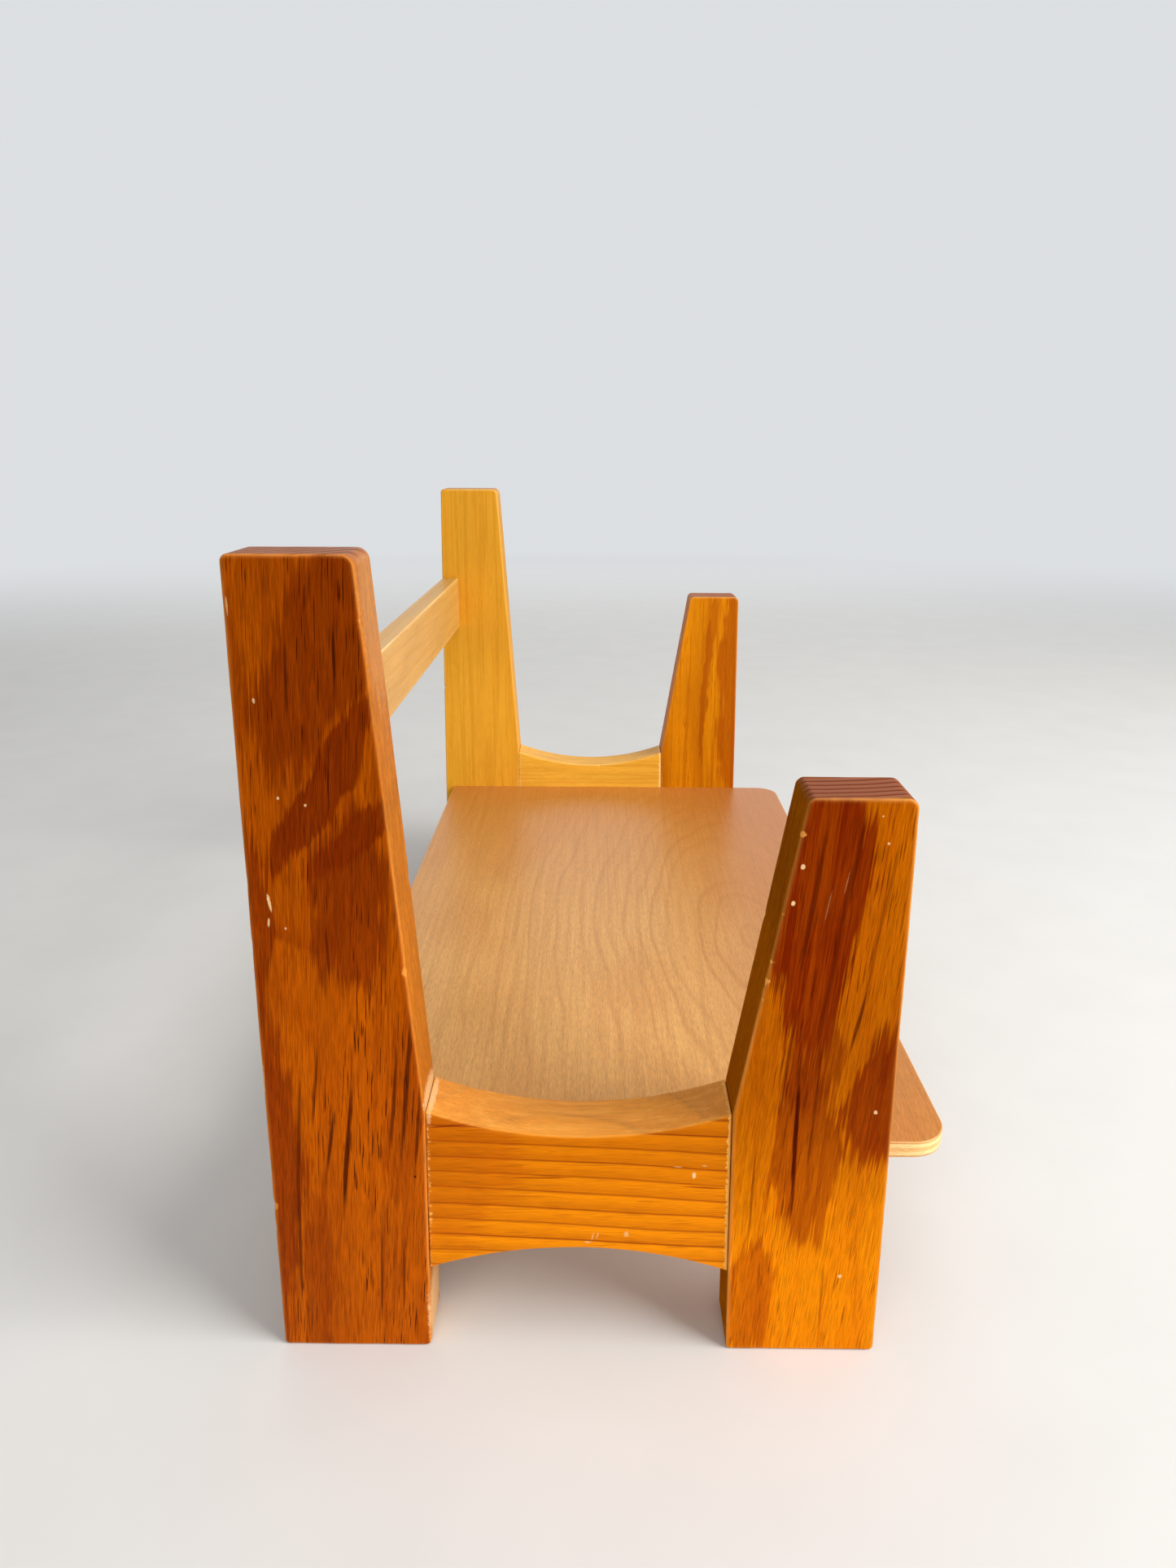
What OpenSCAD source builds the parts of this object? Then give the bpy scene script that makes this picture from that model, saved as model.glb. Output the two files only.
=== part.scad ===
// Free-standing wooden mug rack.
//
// Two splayed end frames stand on four feet. Each frame is a tall rear post and a short front
// post, joined low down by a cross rail with a scooped top and an arched underside. A thin
// shelf board rests on hidden cleats between the frames and overhangs them at the front, and a
// back rail joins the tall posts. The frames and the back rail are dowelled and glued, and the
// cleats are screwed.
//
// Axes: X runs along the shelf, -Y is the front and +Z is up. The origin is on the floor, in
// the middle of the rack's length and overall depth. All sizes are in millimetres.

/* [Overall] */
// Length over the outer faces of the two end frames
rack_length = 406; // [260:1:560]
// Depth of an end frame on the floor, from the rear foot's back to the front foot's front
foot_depth = 192; // [150:1:260]
// Height of the tall rear posts
tall_height = 254; // [190:1:340]
// Height of the short front posts
short_height = 190; // [130:1:260]

/* [Posts] */
// Thickness of the posts, along the rack's length
post_t = 20; // [15:0.5:28]
// Width of the posts from the foot to the top of the cross rail
post_w = 48; // [36:0.5:60]
// Width of a tall post at its top
tall_top_w = 34; // [24:0.5:36]
// Width of a short post at its top
short_top_w = 30; // [22:0.5:36]
// Angle by which each post leans in towards the middle of its frame, in degrees
lean = 1.15; // [0:0.05:3]
// Radius of the posts' corners, seen from the side
post_corner_r = 2.5; // [1.5:0.1:6]
// Width of the chamfer along the posts' long edges
post_ease = 1.2; // [0.4:0.1:2.5]

/* [Cross rails] */
// Height of a cross rail's underside at its ends
rail_bottom = 30.5; // [20:0.5:37]
// Height of a cross rail's top at its ends, where the posts start to taper
rail_top = 89; // [78:0.5:110]
// Depth of the scoop in the top
scoop_depth = 8.5; // [2:0.1:11]
// Rise of the arch in the underside
arch_rise = 8.5; // [2:0.1:11]
// Step from a post's outer face back to the cross rail's
rail_recess = 1; // [0:0.1:3]

/* [Shelf] */
// Height of the shelf's top surface
shelf_top = 65.5; // [54:0.5:79]
// Thickness of the shelf board
shelf_t = 6; // [4.8:0.1:9]
// How far the shelf reaches in front of the front feet
shelf_overhang = 25; // [10:0.5:40]
// Step from the rear feet forward to the shelf's rear edge
shelf_setback = 6.4; // [3:0.1:10]
// Radius of the shelf's two front corners
shelf_corner_r = 12; // [4:0.5:20]
// Radius of the shelf's two rear corners
shelf_rear_r = 1.5; // [0.5:0.1:4]

/* [Back rail] */
// Step from the top of the tall posts down to the back rail's top
back_rail_drop = 53; // [35:0.5:75]
// Height of the back rail's section
back_rail_h = 30.5; // [24:0.5:40]
// Thickness of the back rail's section
back_rail_t = 10; // [8:0.5:14]
// Width of the chamfer along the back rail's long edges
back_rail_ease = 1; // [0.3:0.1:2]

/* [Joinery] */
// Diameter of the cross rail's dowels
rail_dowel_d = 8; // [6:0.1:10]
// Length of the cross rail's dowels
rail_dowel_len = 40; // [30:1:48]
// Distance from the cross rail's underside to its lower dowels
lower_dowel_inset = 13.5; // [12:0.5:17]
// Distance from the cross rail's top to its upper dowels
upper_dowel_inset = 17; // [12:0.5:19]
// Diameter of the back rail's dowels
back_dowel_d = 5; // [4:0.1:6]
// Length of the back rail's dowels
back_dowel_len = 24; // [18:0.5:29]
// Distance from the back rail's long edges to its dowels
back_dowel_inset = 8; // [5:0.5:9.5]
// Space left for glue past each end of a dowel
glue_gap = 1; // [0.5:0.1:2]
// Width of a cleat, along the rack's length
cleat_w = 12; // [10:0.5:15]
// Height of a cleat
cleat_h = 12; // [10:0.5:14]
// Step from the feet in to each end of a cleat
cleat_setback = 12; // [9:0.5:30]
// Thread diameter of the screws through the cleats into the cross rails
rail_screw_d = 3.5; // [3:0.1:4]
// Length of those screws
rail_screw_len = 25; // [18:0.5:27]
// Distance between the two rail screws in a cleat
rail_screw_pitch = 36; // [20:1:40]
// Thread diameter of the screws through the cleats into the shelf
shelf_screw_d = 3; // [2.5:0.1:3.5]
// How far those screws bite into the shelf
shelf_screw_bite = 4; // [3:0.1:4.5]
// Distance between neighbouring shelf screws in a cleat
shelf_screw_pitch = 52; // [45:1:60]

/* [Hidden] */

$fn = 64;
LEFT = -1;
RIGHT = 1;
eps = 0.5; // how far a cut runs past the wood it opens
half_length = rack_length / 2;
inner_x = half_length - post_t; // the end frames' inner faces
half_depth = (foot_depth + shelf_overhang) / 2;
mid_y = half_depth - foot_depth / 2; // middle of an end frame
rail_t = post_t - rail_recess; // the cross rail ends flush with the posts' inner faces
rail_x = inner_x + rail_t / 2; // middle of the cross rail's thickness
lower_dowel_z = rail_bottom + lower_dowel_inset;
upper_dowel_z = rail_top - upper_dowel_inset;
shelf_front_y = -half_depth;
shelf_rear_y = half_depth - shelf_setback;
cleat_top = shelf_top - shelf_t;
cleat_length = foot_depth - 2 * cleat_setback;
cleat_x = inner_x - cleat_w / 2; // middle of a cleat's width
shelf_screw_len = cleat_h + shelf_screw_bite;
back_rail_top = tall_height - back_rail_drop;
back_rail_y = outer_edge(back_rail_top) - back_rail_t / 2;
back_lower_z = back_rail_top - back_rail_h + back_dowel_inset;
back_upper_z = back_rail_top - back_dowel_inset;

stained_pine = [0.62, 0.29, 0.08];
flame_pine = [0.68, 0.34, 0.10];
golden_pine = [0.80, 0.55, 0.21];
rail_pine = [0.74, 0.44, 0.14];
pale_pine = [0.82, 0.62, 0.33];
shelf_veneer = [0.73, 0.49, 0.26];
beech = [0.80, 0.64, 0.45];
screw_steel = [0.62, 0.60, 0.55];

// ---- Shared geometry ----

// Y of the tall posts' rear edge at height z. A short post's front edge mirrors it about mid_y.
function outer_edge(z) = half_depth - z * tan(lean);

// Y of the tall posts' inner edge at height z, up to the top of the cross rail
function inner_edge(z) = outer_edge(z) - post_w;

// Radius of an arc with this chord and depth
function arc_radius(chord, depth) = (chord * chord / 4 + depth * depth) / (2 * depth);

// Puts children built on the right-hand side (+X) on the given side
module on_side(side) mirror([side == LEFT ? 1 : 0, 0, 0]) children();

// Puts children built on the tall rear post on the short front post
module on_front_post() translate([0, mid_y, 0]) mirror([0, 1, 0]) translate([0, -mid_y, 0]) children();

// Extrudes a Y-Z outline along X, over the thickness between two X values
module extrude_x(from_x, to_x)
    translate([from_x, 0, 0]) rotate([90, 0, 90]) linear_extrude(to_x - from_x) children();

// The same for a convex outline, with both faces' edges chamfered
module eased_extrude_x(from_x, to_x, ease) hull() {
    extrude_x(from_x + ease, to_x - ease) children();
    extrude_x(from_x, to_x) offset(delta = -ease) children();
}

// Y-Z outline of a rear post. Its inner edge is parallel to the outer one beside the cross
// rail and tapers above it.
module post_outline(height, top_w)
    offset(r = post_corner_r, $fn = 24) offset(delta = -post_corner_r) polygon([
        [outer_edge(0), 0],
        [outer_edge(height), height],
        [outer_edge(height) - top_w, height],
        [inner_edge(rail_top), rail_top],
        [inner_edge(0), 0]
    ]);

// ---- Dowels and screws ----

// A dowel along +Z, centred on the origin, with chamfered ends
module dowel(d, len) {
    chamfer = d / 8;
    cylinder(h = len - 2 * chamfer, d = d, center = true);
    for (end = [0, 1]) mirror([0, 0, end])
        translate([0, 0, len / 2 - chamfer]) cylinder(h = chamfer, d1 = d, d2 = d - 2 * chamfer);
}

// A bore for that dowel, with room for glue past both ends
module dowel_bore(d, len) cylinder(h = len + 2 * glue_gap, d = d, center = true);

// A countersunk wood screw's body: its head is flush with z = 0 and it points along +Z
module screw_body(d, len) {
    head_h = 0.6 * d;
    tip_h = 1.2 * d;
    cylinder(h = head_h, d1 = 2 * d, d2 = d);
    translate([0, 0, head_h]) cylinder(h = len - head_h - tip_h, d = d);
    translate([0, 0, len - tip_h]) cylinder(h = tip_h, d1 = d, d2 = d / 8);
}

// The screw with its straight driver slot
module screw(d, len) {
    slot_w = d / 4;
    slot_h = d / 3;
    difference() {
        screw_body(d, len);
        translate([-d - eps, -slot_w / 2, -eps]) cube([2 * (d + eps), slot_w, slot_h + eps]);
    }
}

// ---- Where the dowels and screws go, on the right-hand side ----

// Along Y, across the joint of the rear post and the cross rail
module at_rail_dowel(z) translate([rail_x, inner_edge(z), z]) rotate([90, 0, 0]) children();

// Along X, across the joint of the rear post and the back rail
module at_back_dowel(z) translate([inner_x, back_rail_y, z]) rotate([0, 90, 0]) children();

// Outwards from a cleat's inner face. place is -1 at the front and 1 at the rear.
module at_rail_screw(place)
    translate([inner_x - cleat_w, mid_y + place * rail_screw_pitch / 2, cleat_top - cleat_h / 2])
        rotate([0, 90, 0]) children();

// Upwards from a cleat's underside. place is -1 at the front, 0 in the middle, 1 at the rear.
module at_shelf_screw(place)
    translate([cleat_x, mid_y + place * shelf_screw_pitch, cleat_top - cleat_h]) children();

module rail_dowel_bores() for (z = [lower_dowel_z, upper_dowel_z])
    at_rail_dowel(z) dowel_bore(rail_dowel_d, rail_dowel_len);

module back_dowel_bores() for (z = [back_lower_z, back_upper_z])
    at_back_dowel(z) dowel_bore(back_dowel_d, back_dowel_len);

module rail_screw_holes() for (place = [-1, 1])
    at_rail_screw(place) screw_body(rail_screw_d, rail_screw_len);

module shelf_screw_holes() for (place = [-1, 0, 1])
    at_shelf_screw(place) screw_body(shelf_screw_d, shelf_screw_len);

// ---- Pieces, built on the right-hand side ----

module tall_post() difference() {
    eased_extrude_x(inner_x, half_length, post_ease) post_outline(tall_height, tall_top_w);
    rail_dowel_bores();
    back_dowel_bores();
}

module short_post() on_front_post() difference() {
    eased_extrude_x(inner_x, half_length, post_ease) post_outline(short_height, short_top_w);
    rail_dowel_bores();
}

// The rail's ends follow the lean of the posts
module cross_rail() {
    scoop_r = arc_radius(2 * (inner_edge(rail_top) - mid_y), scoop_depth);
    arch_r = arc_radius(2 * (inner_edge(rail_bottom) - mid_y), arch_rise);
    difference() {
        extrude_x(inner_x, inner_x + rail_t) difference() {
            polygon([
                [inner_edge(rail_bottom), rail_bottom],
                [inner_edge(rail_top), rail_top],
                [2 * mid_y - inner_edge(rail_top), rail_top],
                [2 * mid_y - inner_edge(rail_bottom), rail_bottom]
            ]);
            translate([mid_y, rail_top - scoop_depth + scoop_r]) circle(r = scoop_r, $fn = 256);
            translate([mid_y, rail_bottom + arch_rise - arch_r]) circle(r = arch_r, $fn = 256);
        }
        rail_dowel_bores();
        on_front_post() rail_dowel_bores();
        rail_screw_holes();
    }
}

module cleat() difference() {
    translate([inner_x - cleat_w, mid_y - cleat_length / 2, cleat_top - cleat_h])
        cube([cleat_w, cleat_length, cleat_h]);
    rail_screw_holes();
    shelf_screw_holes();
}

module rail_dowel(z) at_rail_dowel(z) dowel(rail_dowel_d, rail_dowel_len);

module back_dowel(z) at_back_dowel(z) dowel(back_dowel_d, back_dowel_len);

module rail_screw(place) at_rail_screw(place) screw(rail_screw_d, rail_screw_len);

module shelf_screw(place) at_shelf_screw(place) screw(shelf_screw_d, shelf_screw_len);

// ---- Sub-parts ----

module tall_post_left() color(stained_pine) on_side(LEFT) tall_post();
module tall_post_right() color(golden_pine) on_side(RIGHT) tall_post();
module short_post_left() color(flame_pine) on_side(LEFT) short_post();
module short_post_right() color(flame_pine) on_side(RIGHT) short_post();
module cross_rail_left() color(rail_pine) on_side(LEFT) cross_rail();
module cross_rail_right() color(golden_pine) on_side(RIGHT) cross_rail();

module back_rail() color(pale_pine) difference() {
    extrude_x(-inner_x, inner_x) translate([back_rail_y, back_rail_top - back_rail_h / 2]) hull() {
        square([back_rail_t, back_rail_h - 2 * back_rail_ease], center = true);
        square([back_rail_t - 2 * back_rail_ease, back_rail_h], center = true);
    }
    for (side = [LEFT, RIGHT]) on_side(side) back_dowel_bores();
}

module shelf_board() color(shelf_veneer) difference() {
    translate([0, 0, cleat_top]) linear_extrude(shelf_t) for (side = [LEFT, RIGHT]) on_side(side) {
        translate([0, shelf_front_y + shelf_corner_r])
            square([inner_x, shelf_rear_y - shelf_front_y - shelf_corner_r - shelf_rear_r]);
        translate([0, shelf_front_y]) square([inner_x - shelf_corner_r, shelf_corner_r]);
        translate([0, shelf_rear_y - shelf_rear_r]) square([inner_x - shelf_rear_r, shelf_rear_r]);
        translate([inner_x - shelf_corner_r, shelf_front_y + shelf_corner_r]) circle(r = shelf_corner_r);
        translate([inner_x - shelf_rear_r, shelf_rear_y - shelf_rear_r]) circle(r = shelf_rear_r);
    }
    for (side = [LEFT, RIGHT]) on_side(side) shelf_screw_holes();
}

module dowel_left_tall_lower() color(beech) on_side(LEFT) rail_dowel(lower_dowel_z);
module dowel_left_tall_upper() color(beech) on_side(LEFT) rail_dowel(upper_dowel_z);
module dowel_left_short_lower() color(beech) on_side(LEFT) on_front_post() rail_dowel(lower_dowel_z);
module dowel_left_short_upper() color(beech) on_side(LEFT) on_front_post() rail_dowel(upper_dowel_z);
module dowel_right_tall_lower() color(beech) on_side(RIGHT) rail_dowel(lower_dowel_z);
module dowel_right_tall_upper() color(beech) on_side(RIGHT) rail_dowel(upper_dowel_z);
module dowel_right_short_lower() color(beech) on_side(RIGHT) on_front_post() rail_dowel(lower_dowel_z);
module dowel_right_short_upper() color(beech) on_side(RIGHT) on_front_post() rail_dowel(upper_dowel_z);

module back_dowel_left_lower() color(beech) on_side(LEFT) back_dowel(back_lower_z);
module back_dowel_left_upper() color(beech) on_side(LEFT) back_dowel(back_upper_z);
module back_dowel_right_lower() color(beech) on_side(RIGHT) back_dowel(back_lower_z);
module back_dowel_right_upper() color(beech) on_side(RIGHT) back_dowel(back_upper_z);

module cleat_left() color(pale_pine) on_side(LEFT) cleat();
module cleat_right() color(pale_pine) on_side(RIGHT) cleat();

module rail_screw_left_front() color(screw_steel) on_side(LEFT) rail_screw(-1);
module rail_screw_left_rear() color(screw_steel) on_side(LEFT) rail_screw(1);
module rail_screw_right_front() color(screw_steel) on_side(RIGHT) rail_screw(-1);
module rail_screw_right_rear() color(screw_steel) on_side(RIGHT) rail_screw(1);

module shelf_screw_left_front() color(screw_steel) on_side(LEFT) shelf_screw(-1);
module shelf_screw_left_middle() color(screw_steel) on_side(LEFT) shelf_screw(0);
module shelf_screw_left_rear() color(screw_steel) on_side(LEFT) shelf_screw(1);
module shelf_screw_right_front() color(screw_steel) on_side(RIGHT) shelf_screw(-1);
module shelf_screw_right_middle() color(screw_steel) on_side(RIGHT) shelf_screw(0);
module shelf_screw_right_rear() color(screw_steel) on_side(RIGHT) shelf_screw(1);

tall_post_left();
tall_post_right();
short_post_left();
short_post_right();
cross_rail_left();
cross_rail_right();
back_rail();
shelf_board();
dowel_left_tall_lower();
dowel_left_tall_upper();
dowel_left_short_lower();
dowel_left_short_upper();
dowel_right_tall_lower();
dowel_right_tall_upper();
dowel_right_short_lower();
dowel_right_short_upper();
back_dowel_left_lower();
back_dowel_left_upper();
back_dowel_right_lower();
back_dowel_right_upper();
cleat_left();
cleat_right();
rail_screw_left_front();
rail_screw_left_rear();
rail_screw_right_front();
rail_screw_right_rear();
shelf_screw_left_front();
shelf_screw_left_middle();
shelf_screw_left_rear();
shelf_screw_right_front();
shelf_screw_right_middle();
shelf_screw_right_rear();
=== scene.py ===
"""The looks of a free-standing wooden mug rack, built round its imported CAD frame.

X runs along the shelf, -Y is the front and +Z is up, as in the frame. Sizes are in millimetres,
and they become metres where a mesh or a light is made.
"""
import math
import random

import bpy
import numpy as np
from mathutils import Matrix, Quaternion, Vector, noise


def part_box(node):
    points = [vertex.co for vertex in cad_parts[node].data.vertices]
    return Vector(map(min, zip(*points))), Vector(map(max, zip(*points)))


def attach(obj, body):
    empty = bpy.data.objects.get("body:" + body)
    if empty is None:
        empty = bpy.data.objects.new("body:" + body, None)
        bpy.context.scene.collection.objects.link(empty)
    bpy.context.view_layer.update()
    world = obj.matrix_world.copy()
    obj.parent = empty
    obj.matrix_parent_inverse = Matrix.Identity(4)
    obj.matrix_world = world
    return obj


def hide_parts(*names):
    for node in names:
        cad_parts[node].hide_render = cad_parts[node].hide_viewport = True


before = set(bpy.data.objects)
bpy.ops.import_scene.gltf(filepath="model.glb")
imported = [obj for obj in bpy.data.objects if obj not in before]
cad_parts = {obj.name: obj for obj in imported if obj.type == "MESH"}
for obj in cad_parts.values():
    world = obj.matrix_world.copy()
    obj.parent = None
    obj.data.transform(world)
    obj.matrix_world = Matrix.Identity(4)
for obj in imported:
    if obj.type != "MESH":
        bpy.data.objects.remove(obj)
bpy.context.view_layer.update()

MM = 0.001
BODY = "root"
LEFT, RIGHT = -1, 1

# ---- Sizes that the frame's boxes don't give ----

LEAN = math.radians(1.15)  # of each post, towards the middle of its end frame
POST_WIDTH = 48  # from the foot to the top of the cross rail
TALL_TOP_WIDTH = 34
SHORT_TOP_WIDTH = 30
SHELF_OVERHANG = 25  # in front of the front feet
FOOT_DEPTH = 192  # from a rear foot's back to a front foot's front
SAG = 8.5  # depth of the cross rails' scoop, and rise of their arch
SHELF_FRONT_RADIUS = 12
SHELF_REAR_RADIUS = 1.5


def span(node):
    """Lowest and highest corner of a CAD node, in millimetres."""
    low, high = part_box(node)
    return np.array(low) / MM, np.array(high) / MM


FRONT_FOOT = span("shelf_board")[0][1] + SHELF_OVERHANG
REAR_FOOT = FRONT_FOOT + FOOT_DEPTH
RAIL_BOTTOM, RAIL_TOP = span("cross_rail_left")[0][2], span("cross_rail_left")[1][2]


# ---- Camera, lights and floor ----

CAMERA_PLACE = (-468.9, 7.5, 280.7)
CAMERA_PITCH = math.radians(18.13)  # downwards
CAMERA_YAW = math.radians(0.54)  # from +X towards +Y
CAMERA_ROLL = math.radians(0.21)
FOCAL_LENGTH = 23.906  # for a sensor that is 36 mm across
BACKDROP = (0.72, 0.74, 0.76, 1)
SKYLIGHT = (0.95, 0.97, 1.0, 1)
LIT_POINT = (0, 0, 0.10)  # metres, like FLOOR_REACH
FLOOR_REACH = 2.6
FLOOR_SIDES = 64


def make_camera():
    """Looks along the shelf from just past the left end frame, a little downwards."""
    data = bpy.data.cameras.new("camera")
    data.sensor_width = 36
    data.lens = FOCAL_LENGTH
    data.clip_start = 0.01
    data.clip_end = 50
    camera = bpy.data.objects.new("camera", data)
    camera.location = Vector(CAMERA_PLACE) * MM
    ahead = Vector((
        math.cos(CAMERA_YAW) * math.cos(CAMERA_PITCH),
        math.sin(CAMERA_YAW) * math.cos(CAMERA_PITCH),
        -math.sin(CAMERA_PITCH),
    ))
    camera.rotation_mode = "QUATERNION"
    camera.rotation_quaternion = ahead.to_track_quat("-Z", "Y") @ Quaternion((0, 0, 1), CAMERA_ROLL)
    bpy.context.scene.collection.objects.link(camera)
    bpy.context.scene.camera = camera


def softbox(name, place, size, watts, tint=(1, 1, 1)):
    """A rectangular area light, turned to the rack and hidden from the camera. Metres."""
    data = bpy.data.lights.new(name, "AREA")
    data.shape = "RECTANGLE"
    data.size, data.size_y = size
    data.energy = watts
    data.color = tint
    light = bpy.data.objects.new(name, data)
    light.location = place
    light.rotation_mode = "QUATERNION"
    light.rotation_quaternion = (Vector(LIT_POINT) - Vector(place)).to_track_quat("-Z", "Y")
    light.visible_camera = False
    bpy.context.scene.collection.objects.link(light)


def make_lights():
    """Four softboxes, and a world that lights softly but shows the camera a plain backdrop."""
    softbox("window", (-0.72, -1.50, 1.05), (1.2, 1.2), 44, (1.0, 0.985, 0.96))
    softbox("room", (-1.95, 0.35, 0.80), (1.6, 1.2), 15)
    softbox("wall_glow", (2.0, 0.1, 0.75), (2.2, 1.2), 9)
    softbox("overhead", (0.0, -0.2, 1.8), (1.5, 1.5), 5)
    world = bpy.data.worlds.new("studio")
    world.use_nodes = True
    tree = world.node_tree
    seen = tree.nodes["Background"]
    seen.inputs["Color"].default_value = BACKDROP
    fill = tree.nodes.new("ShaderNodeBackground")
    fill.inputs["Color"].default_value = SKYLIGHT
    fill.inputs["Strength"].default_value = 0.30
    path = tree.nodes.new("ShaderNodeLightPath")
    mix = tree.nodes.new("ShaderNodeMixShader")
    tree.links.new(path.outputs["Is Camera Ray"], mix.inputs[0])
    tree.links.new(fill.outputs[0], mix.inputs[1])
    tree.links.new(seen.outputs[0], mix.inputs[2])
    tree.links.new(mix.outputs[0], tree.nodes["World Output"].inputs["Surface"])
    bpy.context.scene.world = world
    bpy.context.scene.view_settings.view_transform = "Standard"


def make_floor():
    """A pale floor at the height of the feet, which melts into the background far out."""
    mesh = bpy.data.meshes.new("floor")
    angles = [2 * math.pi * side / FLOOR_SIDES for side in range(FLOOR_SIDES)]
    rim = [(FLOOR_REACH * math.cos(a), FLOOR_REACH * math.sin(a), 0) for a in angles]
    mesh.from_pydata(rim, [], [range(FLOOR_SIDES)])
    floor = bpy.data.objects.new("floor", mesh)
    n = Nodes("pale_floor")
    place = n.position()
    grain = n.noise(place, 0.02, detail=3)
    n.set("Base Color", n.mix(grain, srgb(218, 217, 214), srgb(226, 225, 222)))
    n.set("Roughness", 0.8)
    n.set("Specular IOR Level", 0.1)
    reach = FLOOR_REACH / MM
    ring = n.distance(place, (0, 0, 0), (reach, reach, reach))
    n.set("Alpha", n.between(ring, 0.35, 0.95, 1.0, 0.0))
    floor.data.materials.append(n.material)
    bpy.context.scene.collection.objects.link(floor)


# ---- Node helpers ----

UPRIGHT = (0, 0, 0)  # no tilt


def srgb(red, green, blue):
    """A colour as it looks on screen, 0 to 255, as the linear colour that shaders use."""
    def linear(value):
        value /= 255
        return value / 12.92 if value <= 0.04045 else ((value + 0.055) / 1.055) ** 2.4
    return linear(red), linear(green), linear(blue), 1.0


class Nodes:
    """One material's node tree. What makes a value returns its output socket."""

    def __init__(self, name):
        self.material = bpy.data.materials.new(name)
        self.material.use_nodes = True
        self.tree = self.material.node_tree
        self.shader = self.tree.nodes["Principled BSDF"]

    def add(self, kind, **settings):
        node = self.tree.nodes.new(kind)
        for key, value in settings.items():
            setattr(node, key, value)
        return node

    def feed(self, socket, value):
        if isinstance(value, bpy.types.NodeSocket):
            self.tree.links.new(value, socket)
        else:
            socket.default_value = value

    def set(self, name, value):
        self.feed(self.shader.inputs[name], value)

    def position(self):
        """The frame's coordinates in millimetres."""
        node = self.add("ShaderNodeVectorMath", operation="SCALE")
        self.feed(node.inputs[0], self.add("ShaderNodeTexCoord").outputs["Object"])
        self.feed(node.inputs["Scale"], 1 / MM)
        return node.outputs[0]

    def math(self, operation, a, b=0.0):
        node = self.add("ShaderNodeMath", operation=operation)
        self.feed(node.inputs[0], a)
        self.feed(node.inputs[1], b)
        return node.outputs[0]

    def times(self, a, b):
        return self.math("MULTIPLY", a, b)

    def plus(self, *values):
        total = values[0]
        for value in values[1:]:
            total = self.math("ADD", total, value)
        return total

    def swing(self, value, reach):
        """Turns a value round 0.5 into one round 0, and scales it by reach."""
        return self.times(self.math("SUBTRACT", value, 0.5), reach)

    def component(self, vector, axis):
        node = self.add("ShaderNodeSeparateXYZ")
        self.feed(node.inputs[0], vector)
        return node.outputs[axis]

    def warped(self, vector, size, reach):
        """The vector, pushed about by up to half of reach in smooth swirls of this size."""
        swirls = self.add("ShaderNodeTexNoise")
        self.feed(swirls.inputs["Vector"], vector)
        self.feed(swirls.inputs["Scale"], 1 / size)
        push = self.add("ShaderNodeVectorMath", operation="MULTIPLY_ADD")
        self.feed(push.inputs[0], swirls.outputs["Color"])
        self.feed(push.inputs[1], (reach, reach, reach))
        self.feed(push.inputs[2], (-reach / 2, -reach / 2, -reach / 2))
        return self.moved(vector, push.outputs[0])

    def moved(self, vector, offset):
        """The vector with another one added."""
        node = self.add("ShaderNodeVectorMath", operation="ADD")
        self.feed(node.inputs[0], vector)
        self.feed(node.inputs[1], offset)
        return node.outputs[0]

    def turned(self, vector, degrees):
        """The vector, turned about X."""
        node = self.add("ShaderNodeVectorRotate", rotation_type="X_AXIS")
        self.feed(node.inputs["Vector"], vector)
        self.feed(node.inputs["Angle"], math.radians(degrees))
        return node.outputs[0]

    def stretch(self, vector, factors):
        """The vector, multiplied axis by axis."""
        node = self.add("ShaderNodeVectorMath", operation="MULTIPLY")
        self.feed(node.inputs[0], vector)
        self.feed(node.inputs[1], factors)
        return node.outputs[0]

    def distance(self, vector, centre, half_sizes, tilt=UPRIGHT):
        """Distance from a centre, in units of the half sizes of a box tilted by these degrees."""
        node = self.add("ShaderNodeMapping", vector_type="TEXTURE")
        self.feed(node.inputs["Vector"], vector)
        self.feed(node.inputs["Location"], centre)
        self.feed(node.inputs["Rotation"], [math.radians(a) for a in tilt])
        self.feed(node.inputs["Scale"], half_sizes)
        length = self.add("ShaderNodeVectorMath", operation="LENGTH")
        self.feed(length.inputs[0], node.outputs[0])
        return length.outputs["Value"]

    def noise(self, vector, scale, detail=2.0, roughness=0.5):
        node = self.add("ShaderNodeTexNoise")
        self.feed(node.inputs["Vector"], vector)
        self.feed(node.inputs["Scale"], scale)
        self.feed(node.inputs["Detail"], detail)
        self.feed(node.inputs["Roughness"], roughness)
        return node.outputs[0]

    def spots(self, vector, spacing, radius, share):
        """Sparse round spots: 1 inside them. Only this share of the cells has one."""
        node = self.add("ShaderNodeTexVoronoi", feature="F1")
        self.feed(node.inputs["Vector"], vector)
        self.feed(node.inputs["Scale"], 1 / spacing)
        near = self.between(node.outputs["Distance"], radius / spacing, 0.6 * radius / spacing)
        chosen = self.add("ShaderNodeSeparateColor")
        self.feed(chosen.inputs[0], node.outputs["Color"])
        return self.times(near, self.math("LESS_THAN", chosen.outputs[0], share))

    def dice(self, value):
        """A random number from 0 to 1 for each whole number."""
        node = self.add("ShaderNodeTexWhiteNoise", noise_dimensions="1D")
        self.feed(node.inputs["W"], value)
        return node.outputs["Value"]

    def between(self, value, start, end, low=0.0, high=1.0):
        """Rises smoothly from low to high as value goes from start to end."""
        node = self.add("ShaderNodeMapRange", interpolation_type="SMOOTHSTEP")
        for name, given in zip(("Value", "From Min", "From Max", "To Min", "To Max"),
                               (value, start, end, low, high)):
            self.feed(node.inputs[name], given)
        return node.outputs[0]

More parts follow.
